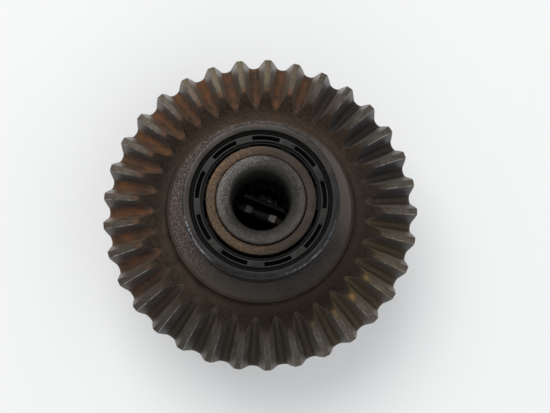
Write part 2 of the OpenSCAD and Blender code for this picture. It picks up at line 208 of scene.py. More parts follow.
def rod(radius, start, end, segments=48):
    """A closed cylinder between two points."""
    start, end = np.array(start, float), np.array(end, float)
    along = (end - start) / np.linalg.norm(end - start)
    side = np.cross(along, [0, 0, 1] if abs(along[2]) < 0.9 else [1, 0, 0])
    side /= np.linalg.norm(side)
    other = np.cross(along, side)
    phi = np.arange(segments) * TAU / segments
    circle = radius * (np.cos(phi)[:, None] * side + np.sin(phi)[:, None] * other)
    points = np.concatenate([start + circle, end + circle])
    faces = [[i, (i + 1) % segments, segments + (i + 1) % segments, segments + i] for i in range(segments)]
    return points, faces + [list(range(segments))[::-1], list(range(segments, 2 * segments))]


def add_attribute(piece, name, values):
    layer = piece.data.attributes.new(name, "FLOAT", "POINT")
    layer.data.foreach_set("value", np.asarray(values, np.float32).ravel())


def smooth_step(low, high, value):
    """0 up to low, 1 from high on, and a smooth way between."""
    t = np.clip((value - low) / (high - low), 0, 1)
    return t * t * (3 - 2 * t)


def near(value, middle, width):
    """1 where the value is the middle one, and less the further it is from it."""
    return np.exp(-(((value - middle) / width) ** 2))


def finish_piece(piece, body, slot, material, *replaced):
    """Gives the piece its material, the body it rides on and the CAD nodes it stands for. slot is not used.
    """
    piece.data.materials.clear()
    piece.data.materials.append(material)
    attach(piece, body)
    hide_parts(*replaced)
    return piece


# ---------------- crown wheel
def tooth_columns():
    """One pitch of the toothed face: for each column its angle from the middle of a tooth space, its slope
    towards the apex, its height from 0 at the root to 1 on the crest, and which way its tooth lies."""
    corner_reach, bulge = 0.42, 0.32
    t = math.tan(PRESSURE_ANGLE)
    root_r = (SPACE_W / 2 - DEDENDUM * t) / (1 / math.cos(PRESSURE_ANGLE) - t)
    half = [
        (root_r * math.cos(math.radians(a)), root_r * (1 + math.sin(math.radians(a))) - DEDENDUM)
        for a in (-90, -76, -62, -48, -35)
    ]
    foot_rise = root_r * (1 - math.sin(PRESSURE_ANGLE)) - DEDENDUM
    foot = np.array([root_r * math.cos(PRESSURE_ANGLE), foot_rise])
    corner = np.array([SPACE_W / 2 + ADDENDUM * t, ADDENDUM])
    along = (corner - foot) / np.linalg.norm(corner - foot)
    outward = np.array([-along[1], along[0]])
    start, end = corner - corner_reach * along, corner + np.array([corner_reach, 0])
    half += [foot + (start - foot) * u + outward * bulge * u * (1 - u) for u in np.linspace(0, 1, 7)]
    half += [bend(start, corner, end, u) for u in (0.25, 0.5, 0.75, 1)]
    half.append((math.pi / TEETH * HEEL_TIP_R, ADDENDUM))
    w, rise = np.array(half).T
    reach = PITCH_R + rise * math.cos(WHEEL_CONE)
    angle = w / reach
    slope = (PITCH_R / BACK_SLOPE - rise * math.sin(WHEEL_CONE)) / reach
    height = (rise + DEDENDUM) / (ADDENDUM + DEDENDUM)
    side = np.ones(len(half))
    back = slice(-2, 0, -1)
    return (
        np.concatenate([angle, TAU / TEETH - angle[back]]), np.concatenate([slope, slope[back]]),
        np.concatenate([height, height[back]]), np.concatenate([side, -side[back]]),
    )


def dish(r):
    """Height of the blank's front face between the valley and the crests."""
    run = BEND_R - FOOT_R
    curve = DISH_SLOPE / (2 * run)
    lead = np.clip(r - FOOT_R, 0, None)
    straight = VALLEY_Z + curve * run**2 + DISH_SLOPE * (r - BEND_R)
    return np.where(r < BEND_R, VALLEY_Z + curve * lead**2, straight)


def toothed_face(k, toe, facet, heel):
    """Rows of (r, z, toothed) from the boss over the teeth and down their heels, for columns of slope k that
    leave the dish at the radius toe and have a ground facet from the radius facet to heel."""
    toe_round, facet_start, heel_round = 1.4, 0.6, 0.55

    def front(r):
        line, bowl = APEX_Z - k * r, dish(r)
        share = np.clip(0.5 + 0.5 * (bowl - line) / toe_round, 0, 1)
        return r, bowl + (line - bowl) * share - toe_round * share * (1 - share), 1.0

    rows = [front(FOOT_R + (toe - 0.8 - FOOT_R) * share) for share in (0.0, 0.3, 0.6, 0.85)]
    rows += [front(toe + step) for step in (-0.8, -0.35, -0.15, 0.05, 0.3, 0.75, toe_round)]
    inner = toe + toe_round
    rows += [front(inner + (facet - inner) * share) for share in (0.25, 0.5, 0.75, 0.95, 1.0)]
    rows += [front(facet + step) for step in (0.18, 0.36, facet_start)]
    rows.append(front((facet + facet_start + heel - heel_round) / 2))

    corner = np.stack([heel, APEX_Z - k * heel])
    inward = np.stack([-np.ones(len(k)), k]) / np.sqrt(1 + k**2)
    down = np.array([[-1.0], [-BACK_SLOPE]]) / math.hypot(1, BACK_SLOPE)
    start, end = corner + inward * heel_round, corner + down * heel_round
    rows += [(*bend(start, corner, end, u), 1.0) for u in (0, 0.25, 0.5, 0.75, 1)]
    past_rim = 0.12
    last = np.array([[RIM_R + past_rim], [RIM_TOP_Z + past_rim * BACK_SLOPE]])
    return rows + [(*(end + (last - end) * u), 0.0) for u in (0.35, 0.7, 1)]


def wheel_body():
    """The rest of the wheel's profile: rim, back, gear pocket, bore, hub, boss and the valley's fillet."""
    spigot_seat_r, journal_top_z = SPIGOT_R + 0.05, FRONT_FLOOR_Z + JOURNAL_L
    body = rounded([
        (RIM_R, RIM_TOP_Z - 0.3, 0.4), (RIM_R, RIM_BACK_Z, 0.7), (MOUNT_R, RIM_BACK_Z, 0.5),
        (MOUNT_R, MOUNT_Z, 0.6), (spigot_seat_r, MOUNT_Z, 0.4), (spigot_seat_r, SPIGOT_TOP_Z + 0.1),
        (SIDE_POCKET_R + 2.4, SPIGOT_TOP_Z + 0.1), (SIDE_POCKET_R, SPIGOT_TOP_Z + 3),
        (SIDE_POCKET_R, FRONT_FLOOR_Z), (JOURNAL_R, FRONT_FLOOR_Z), (JOURNAL_R, journal_top_z),
        (BORE_R, journal_top_z), (BORE_R, HUB_END_Z - 3.9, 1.2), (13.1, HUB_END_Z - 1.75, 1.6),
        (15.3, HUB_END_Z - 0.1, 1.2), (HUB_R - 0.45, HUB_END_Z, 0.3), (HUB_R, HUB_END_Z - 0.55, 0.3),
        (HUB_R, FRONT_SHOULDER_Z, 0.3), (SHOULDER_R, FRONT_SHOULDER_Z, 0.4), (SHOULDER_R, BOSS_Z, 0.3),
        (BOSS_R - 0.1, BOSS_Z, 0.9), (BOSS_R, VALLEY_Z + VALLEY_FILLET + 0.1),
    ], steps=2)
    return [*body, *arc(FOOT_R, VALLEY_Z + VALLEY_FILLET, VALLEY_FILLET, 180, 255, 5)]


def crown_wheel():
    """The whole forging as one grid, with attributes that say where its colours go."""
    angle, slope, height, side = tooth_columns()
    tooth = np.repeat(np.arange(TEETH), len(angle))
    phi = np.tile(angle, TEETH) + (tooth + 0.5) * TAU / TEETH
    k, h, toward = np.tile(slope, TEETH), np.tile(height, TEETH), np.tile(side, TEETH)
    toe = (APEX_Z - dish(np.array(BEND_R)) + DISH_SLOPE * BEND_R) / (DISH_SLOPE + k)
    heel = (APEX_Z - HEEL_Z + HEEL_TIP_R * BACK_SLOPE) / (BACK_SLOPE + k)
    rng = np.random.default_rng(33)
    facet = np.minimum(61.4 + 0.5 * rng.standard_normal(TEETH)[tooth], heel - 1.6)

    rows = toothed_face(k, toe, facet, heel)
    rows += [(np.full(len(phi), r), np.full(len(phi), z), 0.0) for r, z in wheel_body()]
    r, z, is_tooth = (np.array(column) for column in zip(*rows))
    is_tooth = is_tooth[:, None]
    # The toothed face runs outwards, so the profile is clockwise and its faces are turned round
    faces = grid_faces(len(rows), len(phi))[:, ::-1]
    piece = make("crown_wheel_forging", around_axis(r, phi, z).reshape(-1, 3), faces, 38)

    flank = smooth_step(0.13, 0.3, h) * (1 - smooth_step(0.975, 0.995, h))
    past_toe = smooth_step(-0.2, 0.5, r - toe) * is_tooth
    on_facet = smooth_step(facet + 0.1, facet + 1.3, r)
    # Which flanks face down and which face up in the photograph: painted shade goes on those facing down,
    # painted light on those facing up
    facing = toward * np.sin(UP_AZIMUTH - phi)
    ridge = near(r, toe + 0.1, 0.3) * is_tooth * (1 - smooth_step(0.9, 0.99, h))
    crest_corner = near(h, 0.983, 0.009) * smooth_step(0.2, 1.2, r - toe) * is_tooth
    marks = {
        "shaded_flank": np.clip(facing, 0, 1) * flank * past_toe,
        "lit_and_rusty_flank": np.clip(-facing, 0, 1) * flank * past_toe,
        "toe_tip": near(r, toe + 1.2, 1.6) * is_tooth * smooth_step(0.55, 0.95, h),
        # crest_edge places a painted glint along the crests, most on the side facing down
        "crest_edge": crest_corner * np.clip(0.3 + 0.8 * facing, 0, 1),
        "crest": smooth_step(0.9, 0.985, h) * smooth_step(0.0, 4.5, r - toe) * is_tooth,
        "flank": flank * past_toe * (1 - on_facet),
        "heel_facet": flank * on_facet * past_toe,
        "edge": np.clip(ridge + near(r, heel, 0.5) * is_tooth, 0, 1),
        "toothed": past_toe,
        "shade_id": np.broadcast_to(rng.random(TEETH)[tooth], r.shape),
    }
    for name, values in marks.items():
        add_attribute(piece, name, values)
    return finish_piece(piece, "carrier", "forged_steel", wheel_metal, "crown_wheel", "front_hub")


# ---------------- bearings
def outer_ring_profile(w):
    half = math.degrees(math.acos((OUTER_LAND_R - BALL_CIRCLE_R) / GROOVE_R))
    above = rounded([
        (BEARING_R, 0, 1.1), (BEARING_R, w, 1.1), (RECESS_R, w, 0.35), (RECESS_R, w - RECESS_DEPTH, 0.25),
        (OUTER_LAND_R, w - RECESS_DEPTH, 0.3),
    ])
    groove = arc(BALL_CIRCLE_R, w / 2, GROOVE_R, half, -half, 10)
    below = rounded([
        (OUTER_LAND_R, w / 2), (OUTER_LAND_R, RECESS_DEPTH, 0.3), (RECESS_R, RECESS_DEPTH, 0.25),
        (RECESS_R, 0, 0.35), (BEARING_R - 2, 0),
    ])
    return np.array([*above, *groove, *below[1:-1]])


def inner_ring_profile(w):
    half = math.degrees(math.acos((BALL_CIRCLE_R - INNER_LAND_R) / GROOVE_R))
    below = rounded([(HUB_R, 0, 0.8), (INNER_LAND_R, 0, 0.4), (INNER_LAND_R, w / 2)])
    groove = arc(BALL_CIRCLE_R, w / 2, GROOVE_R, 180 + half, 180 - half, 10)
    above = rounded([(INNER_LAND_R, w / 2), (INNER_LAND_R, w, 0.4), (HUB_R, w, 0.8), (HUB_R, w / 2)])
    return np.array([*below[:-1], *groove, *above[1:-1]])


def cage_mesh(w):
    """Points and faces of a cage, closed side up, with a pocket in each finger and a lower inner step."""
    bottom, top = w / 2 - CAGE_LIP, w - CAGE_INSET
    groove_z, step_low_z, step_foot_z = top - 1.6, top - 2.2, top - 2.8
    pitch, half = TAU / BALL_COUNT, WINDOW_ANGLE / 2
    wall, taper = 0.008, 0.06
    inside = [-half + wall, -half * 0.66, -half * 0.33, 0, half * 0.33, half * 0.66, half - wall]
    outside = [*np.linspace(half, pitch - half, 5)]
    phi, floor = [], []
    for n in range(BALL_COUNT):
        middle = FIRST_BALL + (n + 0.5) * pitch
        phi += [middle + a for a in inside + outside]
        floor += [top - WINDOW_DEPTH] * len(inside) + [top] * len(outside)
    phi, floor = np.array(phi), np.array(floor)
    pocket_inner_r, pocket_outer_r = CAGE_INNER_R + CAGE_RAIL, CAGE_OUTER_R - CAGE_RAIL
    step_outer_r = CAGE_INNER_R - CAGE_STEP_GAP
    rows = [
        (CAGE_INNER_R, bottom), (CAGE_OUTER_R, bottom), (CAGE_OUTER_R, (bottom + top) / 2),
        (CAGE_OUTER_R, top), (pocket_outer_r, top), (pocket_outer_r - taper, floor),
        (pocket_inner_r + taper, floor), (pocket_inner_r, top), (CAGE_INNER_R, top), (CAGE_INNER_R, groove_z),
        (step_outer_r, groove_z), (step_outer_r, top - CAGE_STEP_DEPTH), (CAGE_STEP_R, top - CAGE_STEP_DEPTH),
        (CAGE_STEP_R, step_low_z), (CAGE_INNER_R, step_foot_z), (CAGE_INNER_R, (bottom + top) / 2),
    ]
    points = np.concatenate([around_axis(r, phi, z) for r, z in rows])
    return points, grid_faces(len(rows), len(phi))


def cage(name, body, w, place, top_up):
    """The moulded cage, with its edges bevelled and the seats of the balls cut out."""
    points, faces = cage_mesh(w)
    piece = make(f"{name}_cage_moulding", points, faces)
    radii = np.hypot(points[:, 0], points[:, 1])
    slack = 0.03
    between_rails = (radii > CAGE_INNER_R + CAGE_RAIL + slack) & (radii < CAGE_OUTER_R - CAGE_RAIL - slack)
    in_pocket = between_rails & (points[:, 2] < w - CAGE_INSET - 1)
    on_step = radii < CAGE_INNER_R - CAGE_STEP_GAP + 0.01
    # The pockets, and less so the inner step, are marked for painted shade
    add_attribute(piece, "pocket", np.maximum(0.55 * on_step, in_pocket))
    bevel = piece.modifiers.new("edges", "BEVEL")
    bevel.width, bevel.segments = 0.1 * MM, 2
    bevel.limit_method, bevel.angle_limit = "ANGLE", math.radians(40)
    bpy.context.view_layer.objects.active = piece
    bpy.ops.object.modifier_apply(modifier=bevel.name)
    azimuths = [FIRST_BALL + n * TAU / BALL_COUNT for n in range(BALL_COUNT)]
    cut(piece, [sphere(BALL_CIRCLE_R, azimuth, w / 2, GROOVE_R) for azimuth in azimuths])
    co = np.array([v.co for v in piece.data.vertices]) / MM
    if not top_up:
        co[:, 2] = w - co[:, 2]
        piece.data.flip_normals()
    co[:, 2] += place
    piece.data.vertices.foreach_set("co", (co * MM).astype(np.float32).ravel())
    piece.data.update()
    return finish_piece(piece, body, "cage_polymer", cage_plastic, f"{name}_cage")


def bearing(name, low, high, top_up):
    """The rings and cage of one bearing, whose closed side is at the top or at the bottom."""
    w = high.z - low.z
    for part, profile, body, material in (
        ("outer", outer_ring_profile(w), f"{name}_outer", outer_ring_metal),
        ("inner", inner_ring_profile(w), "carrier", inner_ring_metal),
    ):
        if not top_up:
            profile = mirrored(profile, w)
        piece = make(f"{name}_{part}_race", *turned(profile + [0, low.z], 240), 30)
        finish_piece(piece, body, f"{part}_ring_steel", material, f"{name}_{part}_ring")
    cage(name, f"{name}_rollers", w, low.z, top_up)


def sphere(ring_r, azimuth, z, radius, segments=32, steps=16):
    """Points and faces of a ball whose centre is on a circle round the axis."""
    theta = np.linspace(-math.pi / 2, math.pi / 2, steps + 1)[1:-1]
    phi = np.arange(segments) * TAU / segments
    centre = around_axis(ring_r, azimuth, z)
    body = around_axis(np.cos(theta)[:, None], phi, np.sin(theta)[:, None]).reshape(-1, 3)
    points = centre + radius * np.concatenate([body, [[0, 0, -1], [0, 0, 1]]])
    faces = grid_faces(len(theta), segments, close_rows=False).tolist()
    low, high = len(body), len(body) + 1
    last = (len(theta) - 1) * segments
    for i in range(segments):
        faces.append([i, low, (i + 1) % segments])
        faces.append([last + i, last + (i + 1) % segments, high])
    return points, faces


# ---------------- case, bolts and cross shaft
def bolt_places():
    """The bolts' centres on their circle, as rows of (x, y)."""
    azimuths = (np.arange(BOLT_COUNT) + 0.5) * TAU / BOLT_COUNT
    return around_axis(BOLT_CIRCLE_R, azimuths, 0)[:, :2]


def rear_case():
    """The rear half of the case: hub, bowl and bolted flange, with the gear chamber inside."""
    shoulder_z, wall_z = REAR_HIGH.z + 0.5, REAR_HIGH.z + 2.0
    corner = FLANGE_Z - BODY_FILLET - wall_z
    low_z = max(REAR_FLOOR_Z, CENTRE_Z - math.sqrt(CHAMBER_R**2 - SIDE_POCKET_R**2))
    start = math.degrees(math.atan2(low_z - CENTRE_Z, SIDE_POCKET_R))
    end = math.degrees(math.asin((SPIGOT_TOP_Z - CENTRE_Z) / CHAMBER_R))
    profile = np.array([
        *rounded([
            (BORE_R, REAR_END_Z, 0.6), (HUB_R, REAR_END_Z, 0.8), (HUB_R, shoulder_z, 0.3),
            (SHOULDER_R, shoulder_z, 0.4), (SHOULDER_R, wall_z),
        ]),
        *arc(BODY_R - corner, wall_z + corner, corner, -90, 0, 14),
        *arc(BODY_R + BODY_FILLET, FLANGE_Z - BODY_FILLET, BODY_FILLET, 172, 92, 5),
        *rounded([
            (BODY_R + BODY_FILLET, FLANGE_Z), (FLANGE_R, FLANGE_Z, 0.9), (FLANGE_R, MOUNT_Z, 0.7),
            (SPIGOT_R, MOUNT_Z), (SPIGOT_R, SPIGOT_TOP_Z, 0.6),
        ]),
        *arc(0, CENTRE_Z, CHAMBER_R, end, start, 16),
        (SIDE_POCKET_R, REAR_FLOOR_Z), (JOURNAL_R, REAR_FLOOR_Z), (JOURNAL_R, REAR_FLOOR_Z - JOURNAL_L),
        (BORE_R, REAR_FLOOR_Z - JOURNAL_L),
    ])
    piece = make("rear_case_forging", *turned(profile, 240), 35)

    outside = 45
    cutters = [
        rod(SHAFT_R + 0.05, (-outside, 0, CENTRE_Z), (outside, 0, CENTRE_Z)),
        rod(PIN_R, (PIN_X, 0, 10), (PIN_X, 0, PIN_TOP_Z + 0.5), 24),
    ]
    centre = np.array([0, 0, CENTRE_Z])
    start_r, end_r = 18, 43
    for n in range(OIL_HOLES):
        way = around_axis(math.cos(OIL_HOLE_TILT), (n + 0.5) * TAU / OIL_HOLES, -math.sin(OIL_HOLE_TILT))
        cutters.append(rod(OIL_HOLE_R, centre + start_r * way, centre + end_r * way, 40))
    for x, y in bolt_places():
        cutters.append(rod(BOLT_HOLE_R, (x, y, FLANGE_Z - 2), (x, y, MOUNT_Z + 2), 32))
    cut(piece, cutters)
    return finish_piece(piece, "carrier", "case_steel", case_metal, "rear_case", "rear_hub")


def hex_bolt():
    """Points and faces of one flange bolt on the Z axis, head down, with its seat at z = 0."""
    columns, axis_r = 72, 0.01
    phi = np.arange(columns) * TAU / columns
    flat_r = BOLT_HEAD_R * math.cos(math.pi / 6)
    hexagon = flat_r / np.cos((phi + TAU / 12) % (TAU / 6) - TAU / 12)
    head_z, end_z = BOLTS_LOW.z - FLANGE_Z, BOLTS_HIGH.z - FLANGE_Z
    chamfer_z = head_z + 0.2 + np.clip(hexagon - flat_r * 0.98, 0, None) * math.tan(math.radians(32))
    head = [
        (axis_r, head_z + 0.9), (3.4, head_z + 0.9), (4.2, head_z + 0.15), (4.6, head_z),
        (flat_r * 0.955, head_z), (flat_r * 0.975, head_z + 0.08), (hexagon - 0.1, chamfer_z),
        (hexagon, chamfer_z + 0.12), (hexagon, -BOLT_FLANGE_T - 0.75), (hexagon + 0.06, -BOLT_FLANGE_T - 0.6),
    ]
    flange = [
        (BOLT_FLANGE_R - 0.5, -1.05), (BOLT_FLANGE_R - 0.12, -0.85), (BOLT_FLANGE_R, -0.55),
        (BOLT_FLANGE_R, -0.25), (BOLT_FLANGE_R - 0.2, 0.0),
    ]
    rows = head + flange
    rows += [(BOLT_R + 0.1, 0.0), (BOLT_R, 0.1)]
    rows += [(BOLT_R, end_z - 0.7), (BOLT_R - 0.7, end_z), (axis_r, end_z)]
    return np.concatenate([around_axis(r, phi, z) for r, z in rows]), grid_faces(len(rows), columns)


def case_bolts():
    """All the bolts as one mesh, each turned to an angle of its own."""
    points, faces = hex_bolt()
    rng = np.random.default_rng(8)
    all_points, all_faces = [], []
    for n, (x, y) in enumerate(bolt_places()):
        turn = rng.random() * TAU / 6
        c, s = math.cos(turn), math.sin(turn)
        all_points.append(points @ np.array([[c, s, 0], [-s, c, 0], [0, 0, 1]]) + [x, y, FLANGE_Z])
        all_faces.append(faces + n * len(points))
    piece = make("case_bolt_set", np.concatenate(all_points), np.concatenate(all_faces), 28)
    return finish_piece(piece, "carrier", "bolt_steel", bolt_metal, "case_bolts")


def cross_shaft():
    """The shaft along X, with two ground flats across its top and a long one along its upper side."""
    half, flat_half, side_half = (SHAFT_HIGH.x - SHAFT_LOW.x) / 2, OIL_FLAT_W / 2, SIDE_FLAT_L / 2
    chamfer, slack = 0.6, 0.001
    n_y, n_z = math.cos(SIDE_FLAT_AZIMUTH), math.sin(SIDE_FLAT_AZIMUTH)
    stations = [half, half - 0.02, half - 0.3, half - chamfer, 20, side_half + 0.05, side_half, side_half - 1]
    stations += [OIL_FLAT_X + side * reach for side in (-1, 1) for reach in (flat_half, flat_half + 0.06)]
    stations.append(OIL_FLAT_X)
    columns = 180
    phi = np.arange(columns) * TAU / columns
    rows = []
    for x in sorted([0, *stations, *[-x for x in stations]]):
        r = SHAFT_R - max(0.0, chamfer - (half - abs(x)))
        y, z = r * np.cos(phi), r * np.sin(phi)
        if abs(abs(x) - OIL_FLAT_X) <= flat_half + slack:
            z = np.minimum(z, SHAFT_R - FLAT_DEPTH)
        if abs(x) <= side_half + slack:
            over = np.clip(y * n_y + z * n_z - (SHAFT_R - FLAT_DEPTH), 0, None)
            y, z = y - over * n_y, z - over * n_z
        rows.append(np.stack([np.full(columns, x), y, z + CENTRE_Z], -1))
    points = np.concatenate([*rows, [[-half, 0, CENTRE_Z], [half, 0, CENTRE_Z]]])
    faces = grid_faces(len(rows), columns, close_rows=False)[:, ::-1].tolist()
    low, high, last = len(rows) * columns, len(rows) * columns + 1, (len(rows) - 1) * columns
    for i in range(columns):
        on = (i + 1) % columns
        faces += [[low, on, i], [high, last + i, last + on]]
    piece = make("cross_shaft_ground", points, faces, 20)

    x, y, rise = np.abs(points[:, 0]), points[:, 1], points[:, 2] - CENTRE_Z
    ground_r = SHAFT_R - FLAT_DEPTH - 0.01
    on_oil_flat = (np.abs(x - OIL_FLAT_X) <= flat_half + slack) & (rise > ground_r)
    on_side_flat = (x <= side_half + slack) & (y * n_y + rise * n_z > ground_r)
    add_attribute(piece, "ground", on_oil_flat)
    add_attribute(piece, "side_flat", on_side_flat)
    cut(piece, [rod(PIN_R, (PIN_X, 0, CENTRE_Z - 12), (PIN_X, 0, CENTRE_Z + 12), 24)])
    return finish_piece(piece, "carrier", "ground_steel", shaft_metal, "cross_shaft")


# ---------------- materials
class Surface:
    """A material's nodes, with short ways to make the ones used here. A share runs from 0 to 1."""

    def __init__(self, name):
        self.material = bpy.data.materials.new(name)
        self.material.use_nodes = True
        self.tree = self.material.node_tree
        self.shader = self.tree.nodes["Principled BSDF"]
        self.where = self.tree.nodes.new("ShaderNodeTexCoord").outputs["Object"]
        split = self.tree.nodes.new("ShaderNodeSeparateXYZ")
        self.tree.links.new(self.where, split.inputs[0])
        self.x, self.y, self.z = split.outputs

    def plug(self, socket, value):
        if isinstance(value, bpy.types.NodeSocket):
            self.tree.links.new(value, socket)
        elif isinstance(value, tuple) and len(value) == 3 and len(socket.default_value) == 4:
            socket.default_value = (*value, 1)
        else:
            socket.default_value = value

    def math(self, operation, a, b=0.0, clamp=False):
        node = self.tree.nodes.new("ShaderNodeMath")
        node.operation, node.use_clamp = operation, clamp
        self.plug(node.inputs[0], a)
        self.plug(node.inputs[1], b)
        return node.outputs[0]

    def times(self, *values):
        found = values[0]
        for value in values[1:]:
            found = self.math("MULTIPLY", found, value)
        return found

    def plus(self, *shares):
        found = shares[0]
        for share in shares[1:]:
            found = self.math("ADD", found, share, clamp=True)
        return found

    def rest(self, share):
        """What the share leaves of 1."""
        return self.math("SUBTRACT", 1.0, share, clamp=True)

    def radius(self):
        return self.math("SQRT", self.math("ADD", self.times(self.x, self.x), self.times(self.y, self.y)))

    def radius_mm(self):
        return self.times(self.radius(), 1 / MM)

    def height_mm(self):
        return self.times(self.z, 1 / MM)

    def towards(self, clockwise):
        """1 on the side of the axis that lies clockwise degrees from the photograph's up, and -1 opposite."""
        azimuth = UP_AZIMUTH - math.radians(clockwise)
        along = self.math("ADD", self.times(self.x, math.cos(azimuth)), self.times(self.y, math.sin(azimuth)))
        return self.math("DIVIDE", along, self.math("MAXIMUM", self.radius(), 0.001))

    def around(self, clockwise, width, most=1.0):
        """most in the middle of a sector that reaches width degrees to each side, and 0 outside it."""
        return self.spread(self.towards(clockwise), math.cos(math.radians(width)), 1.0, 0.0, most)

    def spread(self, value, low, high, out_low=0.0, out_high=1.0):
        """out_low where the value is low, out_high where it is high, and a smooth way between."""
        node = self.tree.nodes.new("ShaderNodeMapRange")
        node.interpolation_type = "SMOOTHSTEP"
        for socket, v in zip(node.inputs, (value, low, high, out_low, out_high)):
            self.plug(socket, v)
        return node.outputs[0]

    def noise(self, scale, detail=4.0, roughness=0.6, where=None):
        node = self.tree.nodes.new("ShaderNodeTexNoise")
        self.plug(node.inputs["Vector"], where or self.where)
        node.inputs["Scale"].default_value = scale
        node.inputs["Detail"].default_value = detail
        node.inputs["Roughness"].default_value = roughness
        return node.outputs["Fac"]

    def streaks(self, along, about, detail=4.0, roughness=0.6):
        """Noise whose scale is along in radius and height and about in angle, to run with teeth or rings."""
        node = self.tree.nodes.new("ShaderNodeCombineXYZ")
        angle = self.math("ARCTAN2", self.y, self.x)
        for socket, value, scale in zip(node.inputs, (self.radius(), angle, self.z), (along, about, along)):
            self.plug(socket, self.times(value, scale))
        return self.noise(1, detail, roughness, node.outputs[0])

    def attribute(self, name):
        node = self.tree.nodes.new("ShaderNodeAttribute")
        node.attribute_name = name
        return node.outputs["Fac"]

    def mix(self, share, a, b):
        """A colour between two."""
        node = self.tree.nodes.new("ShaderNodeMix")
        node.data_type = "RGBA"
        self.plug(node.inputs["Factor"], share)
        self.plug(node.inputs[6], a)
        self.plug(node.inputs[7], b)
        return node.outputs[2]

    def mix_value(self, share, a, b):
        """A number between two."""
        node = self.tree.nodes.new("ShaderNodeMix")
        self.plug(node.inputs["Factor"], share)
        self.plug(node.inputs[2], a)
        self.plug(node.inputs[3], b)
        return node.outputs[0]

    def stained(self, color, *stains):
        """The colour under one stain after another, each a (share, colour)."""
        for share, stain in stains:
            color = self.mix(share, color, stain)
        return color

    def bump(self, *layers):
        """Layers of (height, depth in metres), stacked."""
        normal = None
        for height, depth in layers:
            node = self.tree.nodes.new("ShaderNodeBump")
            node.inputs["Distance"].default_value = depth
            self.plug(node.inputs["Height"], height)
            if normal is not None:
                self.tree.links.new(normal, node.inputs["Normal"])
            normal = node.outputs[0]
        self.tree.links.new(normal, self.shader.inputs["Normal"])

    def finish(self, color, roughness, metallic=1.0):
        self.plug(self.shader.inputs["Base Color"], color)
        self.plug(self.shader.inputs["Roughness"], roughness)
        self.plug(self.shader.inputs["Metallic"], metallic)
        return self.material


class WheelSurface(Surface):
    """The crown wheel's material, with the noises and stains that its colours share."""

    def __init__(self):
        super().__init__("forged_wheel_steel")
        self.fine, self.grain = self.noise(2600, 5, 0.7), self.noise(900, 6, 0.65)
        self.speck, self.patch = self.noise(2300, 2, 0.6), self.noise(170, 5, 0.6)
        self.streak, self.scratch = self.streaks(130, 1560, 4, 0.65), self.streaks(2500, 3200, 4, 0.6)
        # Steel shows at the heel of the teeth and is stained brown towards the toe
        self.clean = self.spread(self.radius_mm(), 49.5, 58.5)
        # Rust sits in the roots at the upper left of the photograph
        self.rusty = self.plus(self.spread(self.towards(-52), -0.02, 0.75), self.around(8, 24, 0.5))
        streaky = self.mix_value(0.4, self.streak, self.patch)
        self.rust_share = self.times(self.rusty, self.spread(streaky, 0.4, 0.54))
        brown = self.mix(self.grain, (0.058, 0.03, 0.015), (0.108, 0.053, 0.023))
        orange = self.mix(self.fine, (0.135, 0.049, 0.014), (0.26, 0.094, 0.024))
        blotch = self.mix_value(0.55, self.noise(330, 5, 0.7), self.streaks(160, 1440, 5, 0.7))
        self.rust = self.mix(self.spread(blotch, 0.43, 0.57, 0.0, 0.95), brown, orange)
        self.blackened = self.times(self.around(50, 34), self.spread(self.patch, 0.25, 0.5, 0.6, 1.0))


def wheel_root_color(s):
    """Dark oil and rust, with yellow oil at the lower right of the photograph and black at upper right."""
    ochre = s.times(s.around(122, 46), s.spread(s.streak, 0.4, 0.56), 0.5)
    return s.stained(
        s.mix(s.streak, (0.03, 0.024, 0.018), (0.062, 0.049, 0.037)),
        (s.rust_share, s.rust),
        (s.spread(s.streaks(90, 900, 5, 0.7), 0.52, 0.64, 0.0, 0.7), (0.034, 0.022, 0.015)),
        (ochre, (0.115, 0.08, 0.032)),
        (s.times(s.blackened, 0.85), s.mix(s.streak, (0.018, 0.015, 0.015), (0.042, 0.034, 0.032))),
    )


def wheel_flank_color(s):
    steel = s.stained(
        s.mix(s.spread(s.scratch, 0.3, 0.7), (0.11, 0.095, 0.08), (0.2, 0.178, 0.155)),
        (s.spread(s.streak, 0.45, 0.62, 0.0, 0.6), (0.088, 0.058, 0.036)),
    )
    olive = s.times(s.around(118, 48), s.spread(s.streak, 0.38, 0.56), 0.65)
    patches = s.spread(s.noise(110, 4, 0.6), 0.38, 0.58)
    oily = s.times(s.plus(s.around(70, 42), s.around(195, 62)), patches, 0.8)
    black = s.times(s.blackened, s.spread(s.streak, 0.4, 0.6, 0.85, 0.2))
    return s.stained(
        s.mix(s.clean, (0.1, 0.074, 0.054), steel),
        (olive, (0.15, 0.112, 0.052)), (oily, (0.04, 0.038, 0.034)), (black, (0.036, 0.038, 0.04)),
    )


def wheel_crest_color(s):
    steel = s.mix(s.spread(s.grain, 0.35, 0.65), (0.05, 0.041, 0.032), (0.098, 0.083, 0.066))
    return s.stained(
        s.mix(s.clean, (0.04, 0.03, 0.021), steel),
        (s.times(s.around(222, 60), s.spread(s.streak, 0.36, 0.56), 0.7), (0.038, 0.031, 0.024)),
        (s.times(s.around(-8, 34), s.spread(s.streak, 0.42, 0.56), 0.7), (0.15, 0.118, 0.06)),
    )


